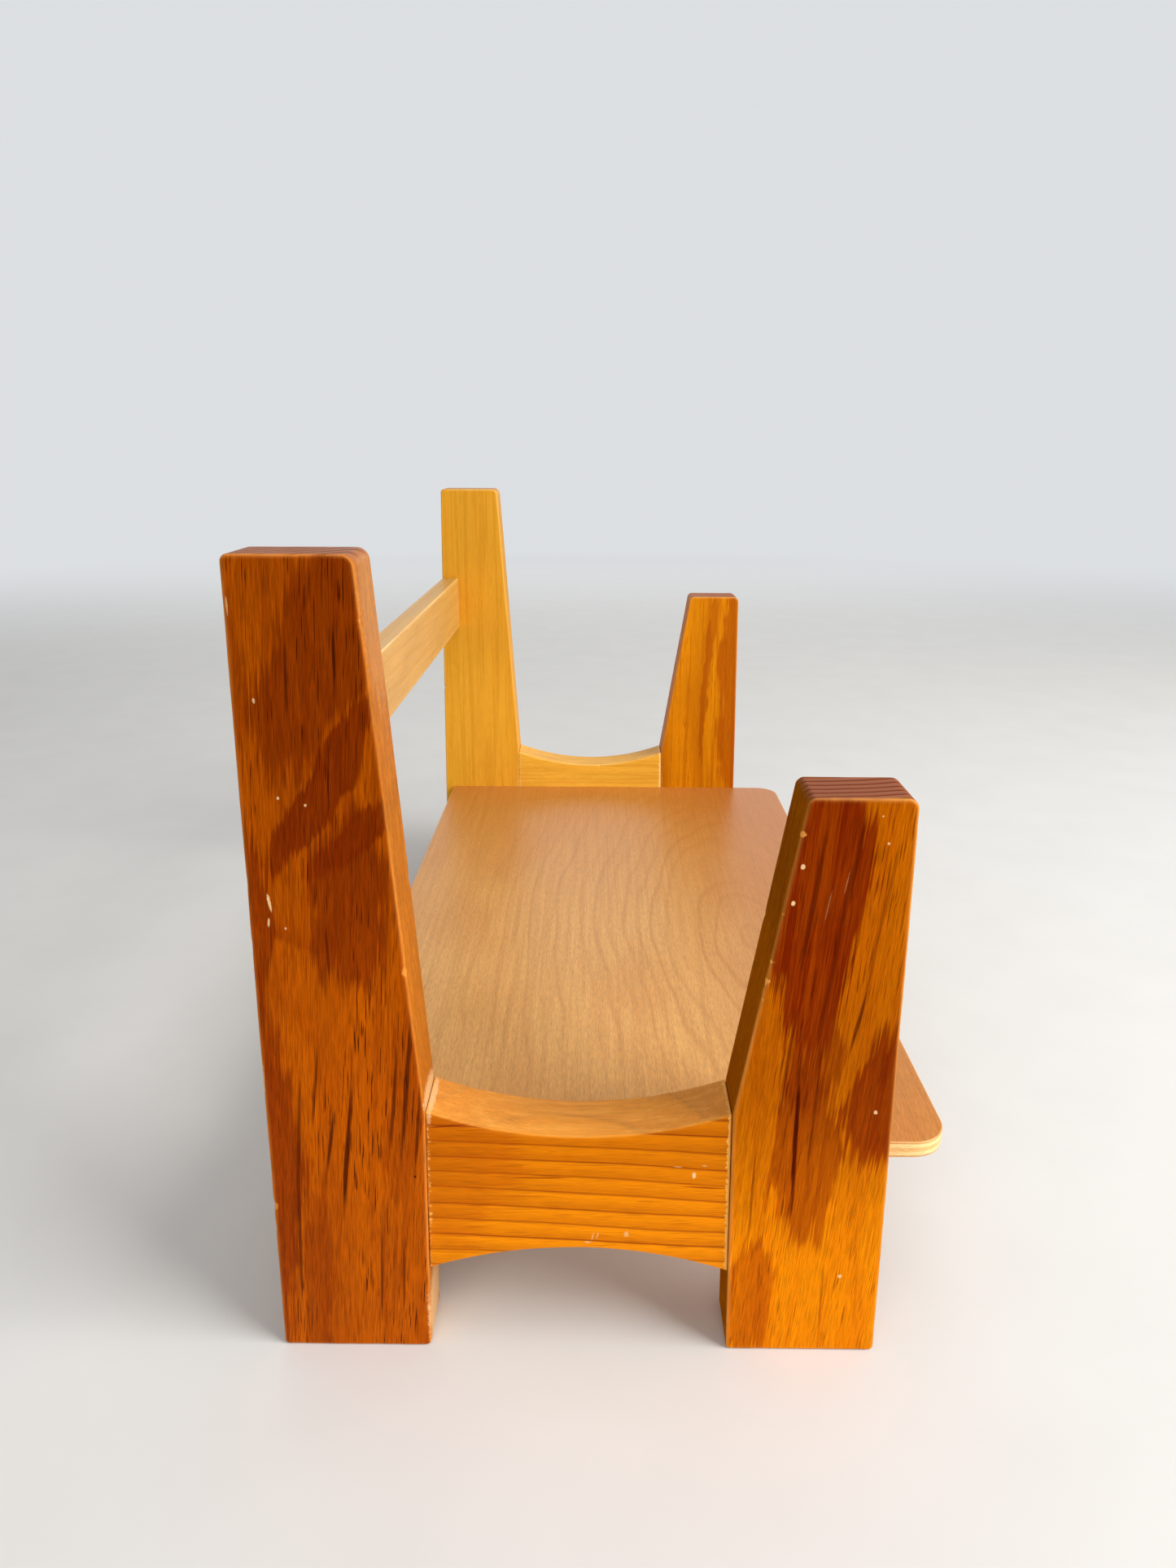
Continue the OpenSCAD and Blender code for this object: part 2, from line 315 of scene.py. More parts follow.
    def ramp(self, value, stops):
        """Greys at places from 0 to 1, joined smoothly."""
        node = self.add("ShaderNodeValToRGB")
        node.color_ramp.interpolation = "EASE"
        elements = node.color_ramp.elements
        while len(elements) < len(stops):
            elements.new(0.5)
        for element, (place, grey) in zip(elements, stops):
            element.position = place
            element.color = (grey, grey, grey, 1)
        self.feed(node.inputs[0], value)
        return node.outputs[0]

    def mix(self, factor, a, b, blend="MIX"):
        node = self.add("ShaderNodeMix", data_type="RGBA", clamp_factor=True, blend_type=blend)
        self.feed(node.inputs[0], factor)
        self.feed(node.inputs[6], a)
        self.feed(node.inputs[7], b)
        return node.outputs[2]

    def brighten(self, colour, value):
        node = self.add("ShaderNodeHueSaturation")
        self.feed(node.inputs["Color"], colour)
        self.feed(node.inputs["Value"], value)
        return node.outputs[0]

    def attribute(self, name):
        return self.add("ShaderNodeAttribute", attribute_name=name).outputs["Fac"]

    def varnish(self, gloss, tint):
        """Reflections of this strength and tint."""
        self.set("Specular IOR Level", gloss)
        self.set("Specular Tint", tint)

    def bump(self, height, depth):
        """Turns a 0 to 1 height into relief of this depth in millimetres."""
        node = self.add("ShaderNodeBump")
        self.feed(node.inputs["Height"], height)
        self.feed(node.inputs["Distance"], depth * MM)
        self.feed(node.inputs["Strength"], 1.0)
        self.set("Normal", node.outputs[0])


# ---- Wood ----

GRAIN = {"X": 0, "Y": 1, "Z": 2}
ENDLESS = 1e5  # a half size so long that its direction doesn't count
AMBER = (1.0, 0.42, 0.04, 1)  # what deep and light varnish tint their reflections
HONEY = (1.0, 0.58, 0.16, 1)
BARE_WOOD = srgb(232, 194, 140)
FLECK = srgb(236, 196, 140)
LEFT_END = span("tall_post_left")[0][0]
POST_MIDDLE = sum(corner[0] for corner in span("tall_post_right")) / 2  # halfway through its thickness


def along(grain, across, lengthwise):
    """Three factors, one of them for the direction of the grain."""
    factors = [across] * 3
    factors[GRAIN[grain]] = lengthwise
    return factors


def dabs_at(x, *dabs):
    """Ellipsoids with their centres at x, from their y and z, half sizes, lean and strength."""
    return [((x, y, z), half, (lean, 0, 0), strength) for (y, z), half, lean, strength in dabs]


class Fibres:
    """Noises drawn out along the grain, from broad drifts down to single fibres."""

    def __init__(self, n, place, grain):
        def drawn(across, lengthwise, detail=2, roughness=0.5):
            factors = along(grain, 1 / across, 1 / lengthwise)
            return n.noise(n.stretch(place, factors), 1.0, detail, roughness)

        self.wide_drift = drawn(55, 170)
        self.fine_drift = drawn(11, 70)
        self.mottle = drawn(16, 60, detail=4)
        self.strand = drawn(1.8, 75, roughness=0.6)
        self.fine_strand = drawn(0.8, 36, roughness=0.65)
        self.dash = drawn(0.5, 13, detail=1)
        self.fibre = drawn(0.32, 7, detail=3, roughness=0.65)


def growth_rings(n, place, grain, rings, fibres):
    """How far the ring at a point has darkened there, and how dark the wood is, stripes included."""
    if "crook" in rings:
        start, end, shift = rings["crook"]
        bend = n.add("ShaderNodeVectorMath", operation="SCALE")
        n.feed(bend.inputs[0], [-x for x in shift])
        n.feed(bend.inputs["Scale"], n.between(n.component(place, "Z"), start, end))
        place = n.moved(place, bend.outputs[0])
    radius = n.distance(place, rings["centre"], along(grain, 1, ENDLESS), rings.get("tilt", UPRIGHT))
    wide = n.swing(fibres.wide_drift, rings["wander"] * 2)
    fine = n.swing(fibres.fine_drift, rings["wander"] * 0.5)
    turn = n.math("DIVIDE", n.plus(radius, wide, fine), rings["spacing"])
    late_start = 1 - rings["share"]
    stops = [(0.0, 0.35), (0.06, 0.0), (late_start, rings.get("slope", 0.1)), (0.93, 1.0), (1.0, 0.35)]
    profile = n.ramp(n.math("FRACT", turn), stops)
    lightest = rings.get("even", 0.35) * rings["dark"]
    darkness = n.between(n.dice(n.math("FLOOR", turn)), 0, 1, lightest, rings["dark"])
    stripes = n.between(fibres.strand, 0.42, 0.66, 0.0, rings.get("stripes", 0.5))
    return profile, n.math("MAXIMUM", n.times(profile, darkness), stripes)


def with_heartwood(n, colour, place, patches, tones, fibres):
    """The colour with ragged dark patches, pushed out of shape by broad swirls."""
    ragged = n.plus(n.swing(fibres.strand, 0.8), n.swing(fibres.fine_strand, 0.8))
    streaks = n.plus(n.swing(fibres.strand, 1.6), n.swing(fibres.fine_strand, 1.8))
    swirled = n.warped(place, 22, 14)
    for centre, half, tilt, strength in patches:
        reach = n.plus(n.distance(swirled, centre, half, tilt), ragged)
        core = n.plus(n.between(reach, 0.2, 0.85, 0.45, 0.8), streaks)
        deep = n.mix(core, n.mix(0.7, tones["heart"], tones["late"]), tones["heart"])
        colour = n.mix(n.between(reach, 1.05, 0.82, 0.0, strength), colour, deep)
    return colour


def with_dabs(n, colour, place, dabs, tone, ragged, core):
    """The colour with small ragged dabs of a tone, each solid within this share of its size."""
    for centre, half, tilt, strength in dabs:
        reach = n.plus(n.distance(place, centre, half, tilt), ragged)
        colour = n.mix(n.between(reach, 1.1, core, 0.0, strength), colour, tone)
    return colour


def with_faces(n, colour, tones, profile, shade, fibres):
    """The colour with the side tone on the flanks, where there is one, and the rings on end grain.
    On the left posts the side tone is partly painted light and shade: lighter on the tall post's lit
    inner flank, darker on the short post's shaded one. The end colour is partly a painted mauve
    reflection on the tops.
    """
    if "side" in tones:
        flank = n.times(n.attribute("side"), n.between(fibres.strand, 0.3, 0.6, 0.9, 0.6))
        colour = n.mix(flank, colour, n.brighten(tones["side"], shade))
    # The end grain's rings, from the end colour, which is partly a painted mauve reflection, to the
    # streak colour.
    end_grain_and_sheen = n.mix(n.times(profile, 0.8), tones["end"], tones["streak"])
    return n.mix(n.times(n.attribute("end"), 0.9), colour, end_grain_and_sheen)


def with_wear(n, colour, worn, wear, crumbs, fibres):
    """The colour with crumbly sawn joints, rubbed edges and torn nicks, all of one worn tone."""
    sawn = n.plus(n.attribute("joint"), n.swing(crumbs, 1.6))
    colour = n.mix(n.between(sawn, 0.50, 0.72, 0.0, 0.8), colour, worn)
    rubbed = n.times(n.attribute("wear"), n.between(fibres.fine_drift, 0.35, 0.6, 0.4 * wear, wear))
    colour = n.mix(rubbed, colour, worn)
    torn = n.plus(n.attribute("chip"), n.swing(fibres.fibre, 0.9))
    return n.mix(n.between(torn, 0.48, 0.62, 0.0, 0.8), colour, worn)


def wood(name, grain, tones, rings, patches=(), threads=(), marks=(), slant=0.0, streak=0.5,
         grit=0.14, fleck=0.0, wear=0.6, shade_and_tone_fade=None, gloss=0.15, tint=HONEY, matt_flanks=False):
    """Varnished wood, solid through and through.

    tones: early, late, streak, worn and end colours, heart where there are patches, and side
    where the flanks have a tone of their own. The end colours of the posts are partly a painted
    mauve reflection on their tops, and the side colours of the left posts are partly painted light
    and shade on their inner flanks.
    rings: centre and tilt of the tree's axis, spacing, wander, how dark the late wood is, the
    share of a ring that it takes, how far a ring darkens before it (slope), how alike the rings
    are (even) and how strong the strands between them are (stripes). A crook shifts the axis
    between two heights along Z.
    patches, threads and marks: heartwood, dark streaks or stains, and pale scratches and specks,
    each a centre, half sizes, tilt and strength.
    slant: how far the fibres lean forwards, in degrees. streak: strength of the short dashes.
    grit: contrast of the finest fibres. fleck: share of places that have a pale speck. wear: how
    far the edges are rubbed bare. fade: an axis, two places along it and what the colour is
    multiplied by at the second; on the posts and the near cross rail this is painted shade, darker
    towards the top, and on the back rail it makes the far end more orange. gloss and tint: of
    reflections, which matt_flanks keeps off flanks.
    """
    n = Nodes(name)
    place = n.position()
    fibres = Fibres(n, n.turned(place, -slant) if slant else place, grain)
    profile, late = growth_rings(n, place, grain, rings, fibres)
    colour = n.mix(late, tones["early"], tones["late"])
    colour = with_heartwood(n, colour, place, patches, tones, fibres)
    colour = with_dabs(n, colour, place, threads, tones["streak"], n.swing(fibres.fine_strand, 1.0), 0.5)

    clusters = n.between(fibres.mottle, 0.42, 0.60, 0.25, 1.0)
    dashes = n.times(n.between(fibres.dash, 0.60, 0.68), n.times(clusters, streak))
    colour = n.mix(dashes, colour, tones["streak"])
    shade = n.plus(n.between(fibres.fibre, 0.3, 0.7, 1 - grit, 1 + 0.8 * grit),
                   n.between(fibres.mottle, 0.3, 0.7, -0.06, 0.06),
                   n.swing(fibres.fine_strand, 1.2 * grit))
    colour = n.brighten(colour, shade)
    # Painted shade: the fade multiplies the colour down along an axis, so the posts and the near cross
    # rail darken towards the top as the light falls off; on the back rail it makes the far end more
    # orange.
    if shade_and_tone_fade:
        axis, start, end, shade_and_tone_factor = shade_and_tone_fade
        colour = n.mix(n.between(n.component(place, axis), start, end), colour, (*shade_and_tone_factor, 1), "MULTIPLY")

    colour = with_faces(n, colour, tones, profile, shade, fibres)
    crumbs = n.noise(place, 0.9, detail=3)
    colour = with_wear(n, colour, tones["worn"], wear, crumbs, fibres)
    colour = with_dabs(n, colour, place, marks, BARE_WOOD, n.swing(crumbs, 0.9), 0.6)
    if fleck:
        specks = n.spots(n.stretch(place, along(grain, 1, 0.6)), 9, 0.32, fleck)
        colour = n.mix(n.times(specks, 0.8), colour, FLECK)
    n.set("Base Color", colour)

    matt = n.between(n.plus(fibres.fibre, n.times(fibres.mottle, 0.5)), 0.5, 1.0, 0.38, 0.52)
    n.set("Roughness", n.plus(matt, n.times(n.attribute("end"), 0.12)))
    if matt_flanks:
        gloss = n.between(n.attribute("side"), 0, 1, gloss, 0.0)
    n.varnish(gloss, tint)
    relief = n.plus(n.times(fibres.fibre, 0.5), n.times(late, 0.25), n.times(dashes, -0.35))
    n.bump(relief, 0.18)
    return n.material


def tall_left_wood():
    tones = {
        "early": srgb(182, 84, 1),
        "late": srgb(144, 54, 1),
        "heart": srgb(121, 36, 1),
        "streak": srgb(66, 15, 1),
        "worn": srgb(222, 138, 58),
        # Partly a painted reflection: a mauve sheen on the end grain of the top.
        "end": srgb(168, 110, 82),
        # Partly painted light: the inner flank lighter, as it is lit.
        "side": srgb(192, 114, 28),
    }
    rings = {
        "centre": (-120, 74, 0), "crook": (100, 262, (-20, 60, 0)), "spacing": 5.0, "wander": 3,
        "dark": 0.6, "share": 0.6,
    }
    patches = dabs_at(
        LEFT_END,
        ((82, 226), (40, 14, 40), 22, 0.70),
        ((81, 192), (40, 6, 34), 33, 0.90),
        ((74, 177), (40, 5, 19), 43, 0.85),
        ((76, 158), (40, 12, 29), 0, 0.75),
        ((106, 150), (30, 6, 30), 0, 0.75),
        ((108, 66), (30, 11, 66), 2, 0.75),
        ((94, 28), (20, 5, 40), 4, 0.45),
        ((72, 22), (20, 4, 34), 3, 0.15),
        ((64, 92), (20, 5, 36), 6, 0.35),
    )
    threads = dabs_at(
        LEFT_END,
        ((83, 75), (9, 0.9, 27), 7, 0.9),
        ((88, 78), (9, 0.7, 11), 9, 0.8),
        ((91, 98), (9, 0.6, 14), 8, 0.7),
        ((68, 92), (9, 0.7, 22), 7, 0.7),
        ((64, 96), (9, 0.8, 26), 6, 0.8),
        ((61, 84), (9, 0.6, 18), 6, 0.6),
        ((97, 84), (9, 0.6, 24), 5, 0.6),
        ((75, 30), (9, 0.6, 22), 3, 0.6),
        ((68, 28), (9, 0.5, 16), 3, 0.5),
        ((100, 44), (9, 0.7, 28), 3, 0.6),
        ((76, 228), (9, 0.5, 8), 2, 0.8),
        ((89, 222), (9, 0.5, 12), 3, 0.6),
        ((84, 143), (9, 0.5, 9), 0, 0.6),
        ((62.7, 66.3), (3, 0.45, 0.45), 0, 1.0),
    )
    marks = dabs_at(
        LEFT_END,
        ((99.2, 158), (3, 0.5, 3.2), -8, 0.8),
        ((99.9, 152), (3, 0.4, 1.5), 5, 0.7),
        ((95.3, 150), (3, 0.4, 0.5), 0, 0.6),
        ((98, 216), (3, 0.4, 0.8), 0, 0.6),
        ((94, 189), (3, 0.4, 0.5), 0, 0.7),
        ((86.7, 187), (3, 0.4, 0.5), 0, 0.6),
        ((102.5, 241), (3, 0.3, 2.6), 0, 0.4),
        ((106.5, 100), (3, 0.7, 9), 2, 0.4),
    )
    marks += dabs_at(
        -POST_MIDDLE,
        ((60.6, 12), (12, 1.3, 17), 0, 0.65),
        ((58.6, 91), (12, 0.9, 5), 0, 0.7),
    )
    rubbed_flank = -POST_MIDDLE + 5
    marks += dabs_at(rubbed_flank, ((67.6, 236), (18, 1.6, 34), -4, 0.15))
    # Painted shade: the fade darkens this post towards its top, as the light falls off with height.
    return wood("pine_tall_left", "Z", tones, rings, patches, threads, marks, slant=4, streak=0.9,
                grit=0.28, fleck=0.10, gloss=0.06, tint=AMBER,
                shade_and_tone_fade=("Z", 60, 240, (0.66, 0.62, 0.6)))


def short_left_wood():
    tones = {
        "early": srgb(230, 132, 2),
        "late": srgb(198, 88, 1),
        "heart": srgb(140, 33, 1),
        "streak": srgb(92, 22, 1),
        "worn": srgb(236, 160, 74),
        # Partly a painted reflection: a mauve sheen on the end grain of the top.
        "end": srgb(155, 98, 76),
        # Partly painted shade: the inner flank darker, as it is in shade.
        "side": srgb(148, 87, 7),
    }
    rings = {
        "centre": (-120, -58, 90), "tilt": (-2, 0, 0), "spacing": 3.4, "wander": 3,
        "dark": 0.6, "share": 0.5, "stripes": 0.35,
    }
    patches = dabs_at(
        LEFT_END,
        ((-55, 160), (60, 13.5, 54), 0, 0.95),
        ((-56, 120), (60, 9.5, 38), 0, 0.5),
        ((-56, 76), (60, 12, 36), -2, 0.65),
        ((-79, 96), (60, 11.5, 27), 10, 0.85),
        ((-41, 20), (60, 8, 24), 0, 0.55),
    )
    threads = dabs_at(
        LEFT_END,
        ((-53, 80), (9, 0.9, 33), -1, 1.0),
        ((-49, 108), (9, 0.5, 18), 4, 0.5),
        ((-71, 140), (9, 0.6, 26), 6, 0.35),
        ((-68.5, 121), (9, 0.7, 12), 9, 0.7),
        ((-74, 165), (9, 0.5, 14), 5, 0.3),
        ((-60, 140), (9, 0.7, 34), 6, 0.5),
        ((-53, 160), (9, 0.8, 26), 6, 0.6),
        ((-64, 172), (9, 0.7, 15), 5, 0.6),
        ((-58, 90), (9, 0.5, 24), 2, 0.5),
        ((-41, 60), (9, 0.5, 20), 1, 0.5),
        ((-65, 22), (9, 0.5, 18), -1, 0.4),
    )
    marks = dabs_at(
        LEFT_END,
        ((-49.3, 170), (3, 0.7, 0.9), 0, 0.8),
        ((-47.3, 159), (3, 0.6, 0.8), 0, 0.9),
        ((-72.2, 177), (3, 0.4, 0.5), 0, 0.6),
        ((-70, 185), (3, 0.4, 0.4), 0, 0.5),
        ((-76.3, 91), (3, 0.6, 0.8), 0, 0.8),
        ((-70.4, 30), (3, 0.7, 0.8), 0, 0.8),
        ((-57.2, 158.5), (3, 0.2, 5), 8, 0.15),
        ((-61.7, 165), (3, 0.2, 4), 9, 0.15),
    )
    # Painted shade: the fade darkens this post towards its top, as the light falls off with height.
    return wood("pine_short_left", "Z", tones, rings, patches, threads, marks, slant=4, streak=0.6,
                grit=0.24, fleck=0.10, gloss=0.04, tint=AMBER,
                shade_and_tone_fade=("Z", 28, 108, (0.54, 0.44, 0.4)), matt_flanks=True)


def rail_left_wood():
    tones = {
        "early": srgb(234, 136, 3),
        "late": srgb(146, 54, 1),
        "heart": srgb(196, 88, 1),
        "streak": srgb(140, 52, 1),
        "side": srgb(232, 158, 66),
        "worn": srgb(240, 176, 84),
        "end": srgb(190, 110, 50),
    }
    rings = {
        "centre": (-140, 0, 330), "tilt": (2.2, 0, 0), "spacing": 5.8, "wander": 3.2,
        "dark": 0.95, "share": 0.16, "slope": 0.42, "even": 0.7, "stripes": 0.12,
    }
    patches = dabs_at(LEFT_END, ((62, 70), (60, 34, 34), 0, 0.4))
    threads = dabs_at(
        LEFT_END,
        ((24, 65.5), (9, 9, 0.35), -1, 0.7),
        ((-26, 62.5), (9, 8, 0.4), 3, 0.8),
        ((52, 84), (9, 9, 0.5), -6, 0.8),
        ((44, 55), (9, 5, 0.3), -2, 0.5),
    )
    marks = dabs_at(
        LEFT_END,
        ((-23, 67), (3, 0.7, 1.4), 0, 0.9),
        ((8, 43.6), (3, 0.25, 1.8), 14, 0.5),
        ((6.5, 44), (3, 0.25, 1.6), 14, 0.5),
        ((9.5, 41.4), (3, 1.4, 0.4), 0, 0.5),
        ((-2.6, 44.6), (3, 0.9, 1.2), 0, 0.5),
        ((-18, 70), (3, 1.6, 0.25), 6, 0.4),
        ((-26, 70.5), (3, 1.0, 0.3), 0, 0.4),
    )
    marks += dabs_at(-POST_MIDDLE, ((57.6, 87), (12, 1.1, 4), 0, 0.7))
    # Painted shade: the fade darkens the rail towards its top, as the light falls off with height.
    return wood("pine_rail_left", "Y", tones, rings, patches, threads, marks, streak=0.3, grit=0.12,
                fleck=0.3, wear=0.2, gloss=0.12, tint=AMBER,
                shade_and_tone_fade=("Z", 38, 88, (0.78, 0.70, 0.7)))


def tall_right_wood():
    tones = {
        "early": srgb(226, 162, 46),
        "late": srgb(204, 136, 28),
        "streak": srgb(164, 98, 20),
        "worn": srgb(244, 194, 104),
        # Partly a painted reflection: a mauve sheen on the end grain of the top.
        "end": srgb(196, 136, 84),
    }
    rings = {"centre": (260, 82, 120), "spacing": 3.2, "wander": 2.5, "dark": 0.55, "share": 0.45}
    # Painted shade: the fade darkens this post towards its top, as the light falls off with height.
    return wood("pine_tall_right", "Z", tones, rings, streak=0.12, grit=0.08,
                shade_and_tone_fade=("Z", 110, 240, (0.88, 0.86, 0.82)))


def short_right_wood():
    tones = {
        "early": srgb(212, 130, 8),
        "late": srgb(160, 74, 2),
        "heart": srgb(158, 66, 2),
        "streak": srgb(134, 58, 4),
        "worn": srgb(236, 168, 82),
        # Partly a painted reflection: a mauve sheen on the end grain of the top.
        "end": srgb(160, 96, 58),
    }
    rings = {"centre": (236, -46, 120), "spacing": 4.6, "wander": 3.5, "dark": 1.0, "share": 0.5}
    patches = dabs_at(
        POST_MIDDLE,
        ((-79, 150), (40, 10, 100), 0, 0.7),
        ((-62, 140), (40, 2.5, 60), 3, 0.6),
    )
    return wood("pine_short_right", "Z", tones, rings, patches, streak=0.4, grit=0.12)


def rail_right_wood():
    tones = {
        "early": srgb(236, 176, 60),
        "late": srgb(208, 142, 36),
        "streak": srgb(178, 110, 34),
        "worn": srgb(248, 208, 128),
        "end": srgb(200, 140, 84),
    }
    rings = {
        "centre": (250, 0, -160), "tilt": (1, 0, 0), "spacing": 6.0, "wander": 3,
        "dark": 0.5, "share": 0.3,
    }
    return wood("pine_rail_right", "Y", tones, rings, streak=0.15, grit=0.08, fleck=0.05)


def back_rail_wood():
    tones = {
        "early": srgb(210, 164, 98),
        "late": srgb(196, 142, 72),
        "streak": srgb(174, 114, 48),
        "worn": srgb(246, 208, 146),
        "end": srgb(206, 150, 100),
    }
    rings = {
        "centre": (0, 40, 240), "tilt": (0, 1.5, 0), "spacing": 4.5, "wander": 3,
        "dark": 0.5, "share": 0.35,
    }
    return wood("pine_back_rail", "X", tones, rings, streak=0.12, grit=0.10,
                shade_and_tone_fade=("X", -120, 170, (0.98, 0.92, 0.62)))


def cleat_wood():
    tones = {
        "early": srgb(232, 188, 122),
        "late": srgb(206, 150, 82),
        "streak": srgb(168, 112, 58),
        "worn": srgb(240, 206, 150),
        "end": srgb(206, 156, 104),
    }
    rings = {"centre": (0, 0, 140), "spacing": 2.6, "wander": 2, "dark": 0.7, "share": 0.4}
    return wood("pine_cleats", "Y", tones, rings, streak=0.2)


def dowel_wood(name, grain):
    tones = {
        "early": srgb(226, 184, 132),
        "late": srgb(206, 158, 106),
        "streak": srgb(170, 118, 72),
        "worn": srgb(236, 202, 156),
        "end": srgb(196, 148, 100),
    }
    rings = {"centre": (0, 0, 0), "spacing": 1.8, "wander": 1, "dark": 0.5, "share": 0.4}
    return wood(name, grain, tones, rings, streak=0.3)


def plywood():
    """The shelf: a satin face veneer with a flat-cut figure over pale cross-laid plies."""
    n = Nodes("veneered_plywood")
    place = n.position()
    low, high = span("shelf_board")
    top, thickness = high[2], high[2] - low[2]

    def drawn(across, lengthwise, detail=2, roughness=0.5):
        """Noise along the shelf, from its cells per millimetre across and along the grain."""
        return n.noise(n.stretch(place, along("X", across, lengthwise)), 1.0, detail, roughness)

    drift = drawn(1 / 40, 1 / 130)
    ripple = drawn(1 / 9, 1 / 60)
    mottle = drawn(1 / 45, 1 / 90, detail=3)
    strands = drawn(0.32, 0.008, detail=3, roughness=0.6)
    silk = drawn(0.9, 0.02, roughness=0.65)
    fibre = drawn(2.4, 0.22, detail=3, roughness=0.62)
    pores = n.between(drawn(3.0, 0.30, detail=1), 0.64, 0.74)

    figure_centre, figure_shape, figure_spacing = (-35, -64, top), (3.1, 1, 1), 6.4
    radius = n.distance(place, figure_centre, figure_shape)
    radius = n.plus(radius, n.plus(n.swing(drift, 26), n.swing(ripple, 3)))
    turn = n.math("DIVIDE", radius, figure_spacing)
    weight = n.between(n.dice(n.math("FLOOR", turn)), 0, 1, 0.2, 1.0)
    profile = n.ramp(n.math("FRACT", turn), [(0.0, 0.5), (0.12, 0.0), (0.6, 0.1), (0.9, 1.0), (1.0, 0.5)])
    late = n.times(profile, weight)

    near_end = n.between(n.component(place, "X"), -180, -90, 0.35, 1.0)
    rear_half = n.between(n.component(place, "Y"), 0, 90, 0.42, 0.18)
    face = n.mix(n.times(late, n.times(near_end, rear_half)), srgb(220, 164, 94), srgb(172, 108, 48))
    face = n.mix(n.between(mottle, 0.42, 0.66, 0.0, 0.4), face, srgb(200, 134, 66))
    face = n.mix(n.between(strands, 0.40, 0.66, 0.0, 0.35), face, srgb(192, 134, 70))
    face = n.mix(n.between(n.component(place, "X"), -70, 190, 0.0, 0.75), face, srgb(192, 118, 38))
    face = n.mix(n.between(n.component(place, "Y"), -20, -100, 0.0, 0.7), face, srgb(186, 110, 46))
    # Brighter towards the near end of the shelf, and a little darker from just before its middle on.
    brighter_near_end = n.between(n.component(place, "X"), -190, -40, 1.08, 0.95)
    sheen = n.plus(n.between(fibre, 0.3, 0.7, 0.86, 1.12), n.swing(silk, 0.34))
    face = n.brighten(face, n.times(brighter_near_end, sheen))
    face = n.mix(n.times(pores, 0.35), face, srgb(150, 92, 44))

    colour = n.mix(n.attribute("side"), face, plies(n, place, top, thickness))
    colour = n.mix(n.times(n.attribute("wear"), 0.45), colour, srgb(240, 198, 136))
    colour = n.mix(n.times(n.attribute("chip"), 0.9), colour, srgb(246, 214, 160))
    n.set("Base Color", colour)
    n.set("Roughness", n.between(fibre, 0.3, 0.7, 0.36, 0.48))
    n.varnish(0.35, HONEY)
    n.set("Coat Weight", 0.12)
    n.set("Coat Roughness", 0.25)
    n.bump(n.plus(n.times(fibre, 0.5), n.times(pores, -0.3)), 0.10)
    return n.material


def plies(n, place, top, thickness):
    """The layers on the shelf's edge, from the top down, with dark lines of glue."""
    layers = [
        (0.0, srgb(222, 160, 96)), (0.10, srgb(140, 84, 40)), (0.125, srgb(250, 214, 148)),
        (0.36, srgb(232, 184, 116)), (0.62, srgb(248, 210, 146)), (0.87, srgb(150, 94, 48)),
        (0.90, srgb(220, 162, 100)),
    ]
    ramp = n.add("ShaderNodeValToRGB")
    ramp.color_ramp.interpolation = "CONSTANT"
    elements = ramp.color_ramp.elements
    while len(elements) < len(layers):
        elements.new(0.5)
    for element, (start, colour) in zip(elements, layers):
        element.position = start
        element.color = colour
    depth = n.math("SUBTRACT", top, n.component(place, "Z"))
    n.feed(ramp.inputs[0], n.math("DIVIDE", depth, thickness))
    cut_grain = n.noise(n.stretch(place, (0.5, 0.5, 2.5)), 1.0, detail=3)
    return n.brighten(ramp.outputs[0], n.between(cut_grain, 0.3, 0.7, 0.84, 1.08))


def screw_steel():
    n = Nodes("screw_steel")
    place = n.position()
    tarnish = n.noise(place, 0.6, detail=4)
    turning = n.noise(n.stretch(place, (3, 3, 3)), 1.0, detail=3)
    n.set("Base Color", n.mix(n.between(tarnish, 0.45, 0.7), srgb(196, 192, 180), srgb(150, 138, 112)))
    n.set("Metallic", 1.0)
    n.set("Roughness", n.between(n.plus(turning, tarnish), 0.7, 1.3, 0.28, 0.5))
    n.bump(turning, 0.03)
    return n.material


# ---- Worn blocks ----

NEAR_STEPS = 6  # lattice places round each eased edge
LEAST_EASE = 0.15
MARGIN = (0.05, 0.95)  # the share of a block's length that has nicks and dents
NICK_REACH = (0.8, 2.2)
NICK_BITE = (0.4, 1.1)
DENT_SIZE = (0.7, 2.4)
DENT_DEPTH = (0.08, 0.28)
JOINT_WIDTH = 1.5


def stations(length, radii, step):
    """Places along one side of a block: close together round its edges, even between them."""
    angles = np.radians(np.linspace(45, 0, NEAR_STEPS))
    near = sorted({round(r * (1 - math.tan(a)), 3) for r in radii for a in angles})
    count = max(1, math.ceil((length - 2 * near[-1]) / step))
    middle = np.linspace(near[-1], length - near[-1], count + 1)[1:-1]
    return np.array([*near, *middle, *(length - np.array(near[::-1]))])


def lattice(counts):
    """Indices of the surface points of a box of lattice points, and the quads that join them."""
    on_surface = np.zeros(counts, bool)
    for axis in range(3):
        for end in (0, -1):
            on_surface[tuple(end if a == axis else slice(None) for a in range(3))] = True
    index = np.full(counts, -1)
    index[on_surface] = np.arange(on_surface.sum())
    quads = []
    for axis in range(3):
        for end in (0, -1):
            sheet = np.take(index, end, axis=axis)
            ring = np.stack([sheet[:-1, :-1], sheet[1:, :-1], sheet[1:, 1:], sheet[:-1, 1:]], -1)
            ring = ring.reshape(-1, 4)
            quads.append(ring[:, ::-1] if (end == 0) != (axis == 1) else ring)
    return np.nonzero(on_surface), np.concatenate(quads)


